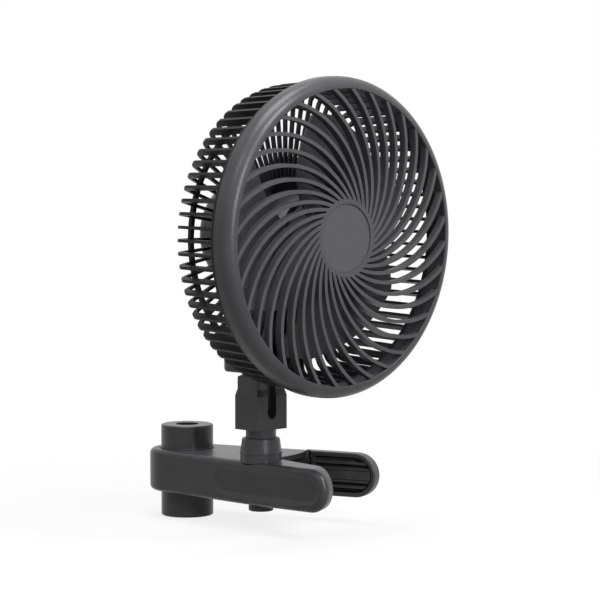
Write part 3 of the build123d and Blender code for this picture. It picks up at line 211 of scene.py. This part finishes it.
def metal(name, colour, stain, roughness, streak_mm=STREAK_MM):
    """Bare or plated metal with fine streaks and faint stains."""
    surface, tree, place = begin(name)
    stretch = add(tree, "ShaderNodeMapping", {"Vector": place}, {"Scale": [1 / (s * MM) for s in streak_mm]})
    streak = add(tree, "ShaderNodeTexNoise", {"Vector": stretch.outputs["Vector"]},
                 {"Scale": 1.0, "Detail": 2.0, "Roughness": 0.5})
    cloud = add(tree, "ShaderNodeTexNoise", {"Vector": place}, {"Scale": 1 / (STAIN_MM * MM), "Detail": 4.0})
    paint = add(tree, "ShaderNodeMixRGB", {"Fac": cloud.outputs["Fac"]},
                {"Color1": linear(colour), "Color2": linear(stain)})
    gloss = add(tree, "ShaderNodeMapRange", {"Value": streak.outputs["Fac"]},
                {"From Min": STREAK_LOW, "From Max": STREAK_HIGH,
                 "To Min": roughness - STREAK_GLOSS, "To Max": roughness + STREAK_GLOSS})
    bump = add(tree, "ShaderNodeBump",
               {"Height": streak.outputs["Fac"], "Normal": rounded_edges(tree, METAL_EDGE_MM)},
               {"Strength": 1.0, "Distance": STREAK_DEPTH_MM * MM})
    finish_surface(tree,
                   {"Base Color": paint.outputs["Color"], "Roughness": gloss.outputs["Result"],
                    "Normal": bump.outputs["Normal"]}, {"Metallic": 1.0})
    return surface


def plated_steel():
    """Zinc-plated steel of the bolts, washers, shaft and bearings: pale, cool grey."""
    return metal("steel_zinc_plated_turned", "#b9bcc0", "#a3a6aa", 0.30)


def oiled_spring_steel():
    """Oiled spring steel: dark, with brown stains."""
    return metal("spring_steel_oiled", "#6d6c6b", "#4d4a47", 0.38)


def black_steel():
    """Black-oxide steel of the screws: nearly black, with a low metallic sheen."""
    return metal("steel_black_oxide", "#2a2a2b", "#3a3836", 0.42)


def can_steel():
    """Rolled steel of the motor's can: pale grey, streaked along the sheet."""
    return metal("steel_rolled_can", "#a8aaad", "#94969a", 0.33, ROLLED_STREAK_MM)


# ---- motor winding, speed board, rubber pads ---------------------------------------------------
TURNS_MM = 3.0                         # bands of wire, drawn coarser than the wire so that they show
TURNS_DEPTH_MM = 0.12
TRACK_MM = 6.0                         # spacing of the tracks under the solder mask
WEAVE_MM, WEAVE_DEPTH_MM = 0.6, 0.02
RUBBER_GRAIN_MM, RUBBER_DEPTH_MM = 0.4, 0.03
RUBBER_BLOOM_MM = 9.0
RUBBER_EDGE_MM = 0.35


def wound_copper():
    """Enamelled copper wire in close turns: red-brown varnish with a fine ridge for each band, painted
    darker in the hollows and paler on the ridges as shade and highlight.
    """
    surface, tree, place = begin("enamelled_copper_wound")
    turns = add(tree, "ShaderNodeTexWave", {"Vector": place},
                {"Scale": 1 / (TURNS_MM * MM), "Distortion": 1.2, "Detail": 1.0, "Detail Scale": 2.0},
                wave_type="BANDS", bands_direction="Y")
    # darker in the hollows between bands, paler on their ridges: painted shade and highlight
    paint = add(tree, "ShaderNodeMixRGB", {"Fac": turns.outputs["Fac"]},
                {"Color1": linear("#5a2412"), "Color2": linear("#b8683a")})
    bump = add(tree, "ShaderNodeBump", {"Height": turns.outputs["Fac"]},
               {"Strength": 0.8, "Distance": TURNS_DEPTH_MM * MM})
    finish_surface(tree, {"Base Color": paint.outputs["Color"], "Normal": bump.outputs["Normal"]},
                   {"Metallic": 1.0, "Roughness": 0.32, "Coat Weight": 0.4, "Coat Roughness": 0.2})
    return surface


def circuit_board():
    """Glass-epoxy board under green solder mask, with the weave and tracks just showing."""
    surface, tree, place = begin("glass_epoxy_solder_mask")
    tracks = add(tree, "ShaderNodeTexBrick", {"Vector": place},
                 {"Scale": 1 / (TRACK_MM * MM), "Mortar Size": 0.06, "Color1": linear("#0f3d22"),
                  "Color2": linear("#124a2a"), "Mortar": linear("#1f6b3c")})
    weave = add(tree, "ShaderNodeTexNoise", {"Vector": place}, {"Scale": 1 / (WEAVE_MM * MM), "Detail": 1.0})
    bump = add(tree, "ShaderNodeBump", {"Height": weave.outputs["Fac"]},
               {"Strength": 0.5, "Distance": WEAVE_DEPTH_MM * MM})
    finish_surface(tree, {"Base Color": tracks.outputs["Color"], "Normal": bump.outputs["Normal"]},
                   {"Roughness": 0.3, "IOR": 1.55})
    return surface


def grip_rubber():
    """Moulded nitrile rubber of the pads: near black and dull, with a dusty bloom in patches."""
    surface, tree, place = begin("nitrile_rubber_moulded")
    grain = add(tree, "ShaderNodeTexNoise", {"Vector": place},
                {"Scale": 1 / (RUBBER_GRAIN_MM * MM), "Detail": 4.0, "Roughness": 0.7})
    bloom = add(tree, "ShaderNodeTexNoise", {"Vector": place},
                {"Scale": 1 / (RUBBER_BLOOM_MM * MM), "Detail": 5.0})
    paint = add(tree, "ShaderNodeMixRGB", {"Fac": bloom.outputs["Fac"]},
                {"Color1": linear("#262627"), "Color2": linear("#4c4c4e")})
    bump = add(tree, "ShaderNodeBump",
               {"Height": grain.outputs["Fac"], "Normal": rounded_edges(tree, RUBBER_EDGE_MM)},
               {"Strength": 1.0, "Distance": RUBBER_DEPTH_MM * MM})
    finish_surface(tree, {"Base Color": paint.outputs["Color"], "Normal": bump.outputs["Normal"]},
                   {"Roughness": 0.82, "IOR": 1.52, "Specular IOR Level": 0.3})
    return surface


def dress():
    """Gives each piece the material that the real one is made of."""
    kinds = {
        "abs_shell": shell_plastic(), "abs_cover": cover_plastic(), "abs_grille": grille_plastic(),
        "abs_cage": cage_plastic(), "pp_blade": blade_plastic(), "badge_plate": badge_plastic(),
        "pad_rubber": grip_rubber(), "zinc_steel": plated_steel(), "spring_steel": oiled_spring_steel(),
        "black_screw": black_steel(), "motor_steel": can_steel(), "magnet": rotor_magnet(),
        "winding": wound_copper(), "board": circuit_board(), "inlet_plastic": inlet_plastic(),
    }
    for row in frame["record"]["subparts"]:
        slots = parts[row["node"]].data.materials
        for i in range(len(slots)):
            slots[i] = kinds[row["material_slot"]]


# ---- studio ------------------------------------------------------------------------------------
WHITE = (1.0, 1.0, 1.0, 1.0)
FILL_STRENGTH = 0.05                   # what the surroundings add to the light on the fan
FLOOR_GAP = 0.0005                     # the lower hinge boss rests just over the floor
FLOOR_HALF = 14.0
FLOOR_BACK = 0.1                       # middle of the floor, behind the hub
FADE_FROM, FADE_TO = 0.12, 0.45        # distance over which the floor turns to plain white
FADE_LEAST = 0.84                      # share of plain white close to the clamp
FLOOR_PALE = (0.80, 0.80, 0.80, 1.0)   # takes the shadow
FLOOR_DIM = (0.12, 0.12, 0.12, 1.0)    # throws little light back at the fan
AIM_BACK, AIM_HEIGHT = 0.06, 0.10      # point that all lamps look at, behind the hub and above the clamp

# place, width and height in metres, watts
LAMPS = {
    "light_overhead": ((-0.05, 0.05, 1.45), 0.8, 0.8, 17.0),     # tops of the ring, bosses and jaws
    "light_front": ((0.10, -1.00, 1.30), 0.5, 0.4, 16.0),        # ribs, hub plate and blades
    "light_key": ((-0.42, -1.31, 0.60), 0.16, 0.7, 12.0),        # upright bands on the ring and collar
    "light_left": ((-1.10, -0.30, 1.25), 0.4, 0.4, 3.0),         # cage and outside of the fixed jaw
}


def seen_or_mirrored(tree):
    """1 for rays that look straight at the backdrop or see it in metal or glass."""
    path = add(tree, "ShaderNodeLightPath")
    first = add(tree, "ShaderNodeMath", {0: path.outputs["Is Camera Ray"], 1: path.outputs["Is Glossy Ray"]},
                operation="MAXIMUM")
    return add(tree, "ShaderNodeMath", {0: first.outputs["Value"], 1: path.outputs["Is Transmission Ray"]},
               operation="MAXIMUM").outputs["Value"]


def make_world():
    """White surroundings to look at, a weak even fill to light with."""
    world = bpy.data.worlds.new("studio")
    bpy.context.scene.world = world
    world.use_nodes = True
    tree = world.node_tree
    tree.nodes.clear()
    fill = add(tree, "ShaderNodeBackground", values={"Color": WHITE, "Strength": FILL_STRENGTH})
    white = add(tree, "ShaderNodeBackground", values={"Color": WHITE, "Strength": 1.0})
    mix = add(tree, "ShaderNodeMixShader", {0: seen_or_mirrored(tree), 1: fill.outputs["Background"],
                                            2: white.outputs["Background"]})
    add(tree, "ShaderNodeOutputWorld", {"Surface": mix.outputs["Shader"]})


def make_floor():
    """Pale floor that keeps the shadow under the clamp and fades to white further out."""
    corners = [(x * FLOOR_HALF, y * FLOOR_HALF, 0) for x, y in ((-1, -1), (1, -1), (1, 1), (-1, 1))]
    mesh = bpy.data.meshes.new("floor")
    mesh.from_pydata(corners, [], [(0, 1, 2, 3)])
    floor = bpy.data.objects.new("floor", mesh)
    floor.location = (HUB.x, HUB.y + FLOOR_BACK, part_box("hinge_boss_bottom")[0].z - FLOOR_GAP)
    bpy.context.scene.collection.objects.link(floor)
    surface, tree, place = begin("painted_board_pale")
    reach = add(tree, "ShaderNodeVectorMath", {0: place}, operation="LENGTH")
    fade = add(tree, "ShaderNodeMapRange", {"Value": reach.outputs["Value"]},
               {"From Min": FADE_FROM, "From Max": FADE_TO, "To Min": FADE_LEAST, "To Max": 1.0},
               interpolation_type="SMOOTHSTEP")
    pale = add(tree, "ShaderNodeBsdfDiffuse", values={"Color": FLOOR_PALE})
    white = add(tree, "ShaderNodeEmission", values={"Color": WHITE, "Strength": 1.0})
    shown = add(tree, "ShaderNodeMixShader", {0: fade.outputs["Result"], 1: pale.outputs["BSDF"],
                                              2: white.outputs["Emission"]})
    dim = add(tree, "ShaderNodeBsdfDiffuse", values={"Color": FLOOR_DIM})
    mix = add(tree, "ShaderNodeMixShader", {0: seen_or_mirrored(tree), 1: dim.outputs["BSDF"],
                                            2: shown.outputs["Shader"]})
    add(tree, "ShaderNodeOutputMaterial", {"Surface": mix.outputs["Shader"]})
    mesh.materials.append(surface)


def softbox(name, place, aim, width, height, watts):
    """Soft light with a rectangular face that looks at a point."""
    data = bpy.data.lights.new(name, "AREA")
    data.shape = "RECTANGLE"
    data.size, data.size_y = width, height
    data.energy = watts
    lamp = bpy.data.objects.new(name, data)
    bpy.context.scene.collection.objects.link(lamp)
    lamp.location = place
    lamp.rotation_mode = "QUATERNION"
    lamp.rotation_quaternion = (Vector(aim) - Vector(place)).to_track_quat("-Z", "Y")


def make_studio():
    """Lamps overhead, high in front, tall on the camera's right and weak on the left; backdrop and floor."""
    aim = (HUB.x, HUB.y + AIM_BACK, AIM_HEIGHT)
    for name, (place, width, height, watts) in LAMPS.items():
        softbox(name, place, aim, width, height, watts)
    make_world()
    make_floor()
    bpy.context.scene.view_settings.view_transform = "Standard"


make_camera()
dress()
make_studio()
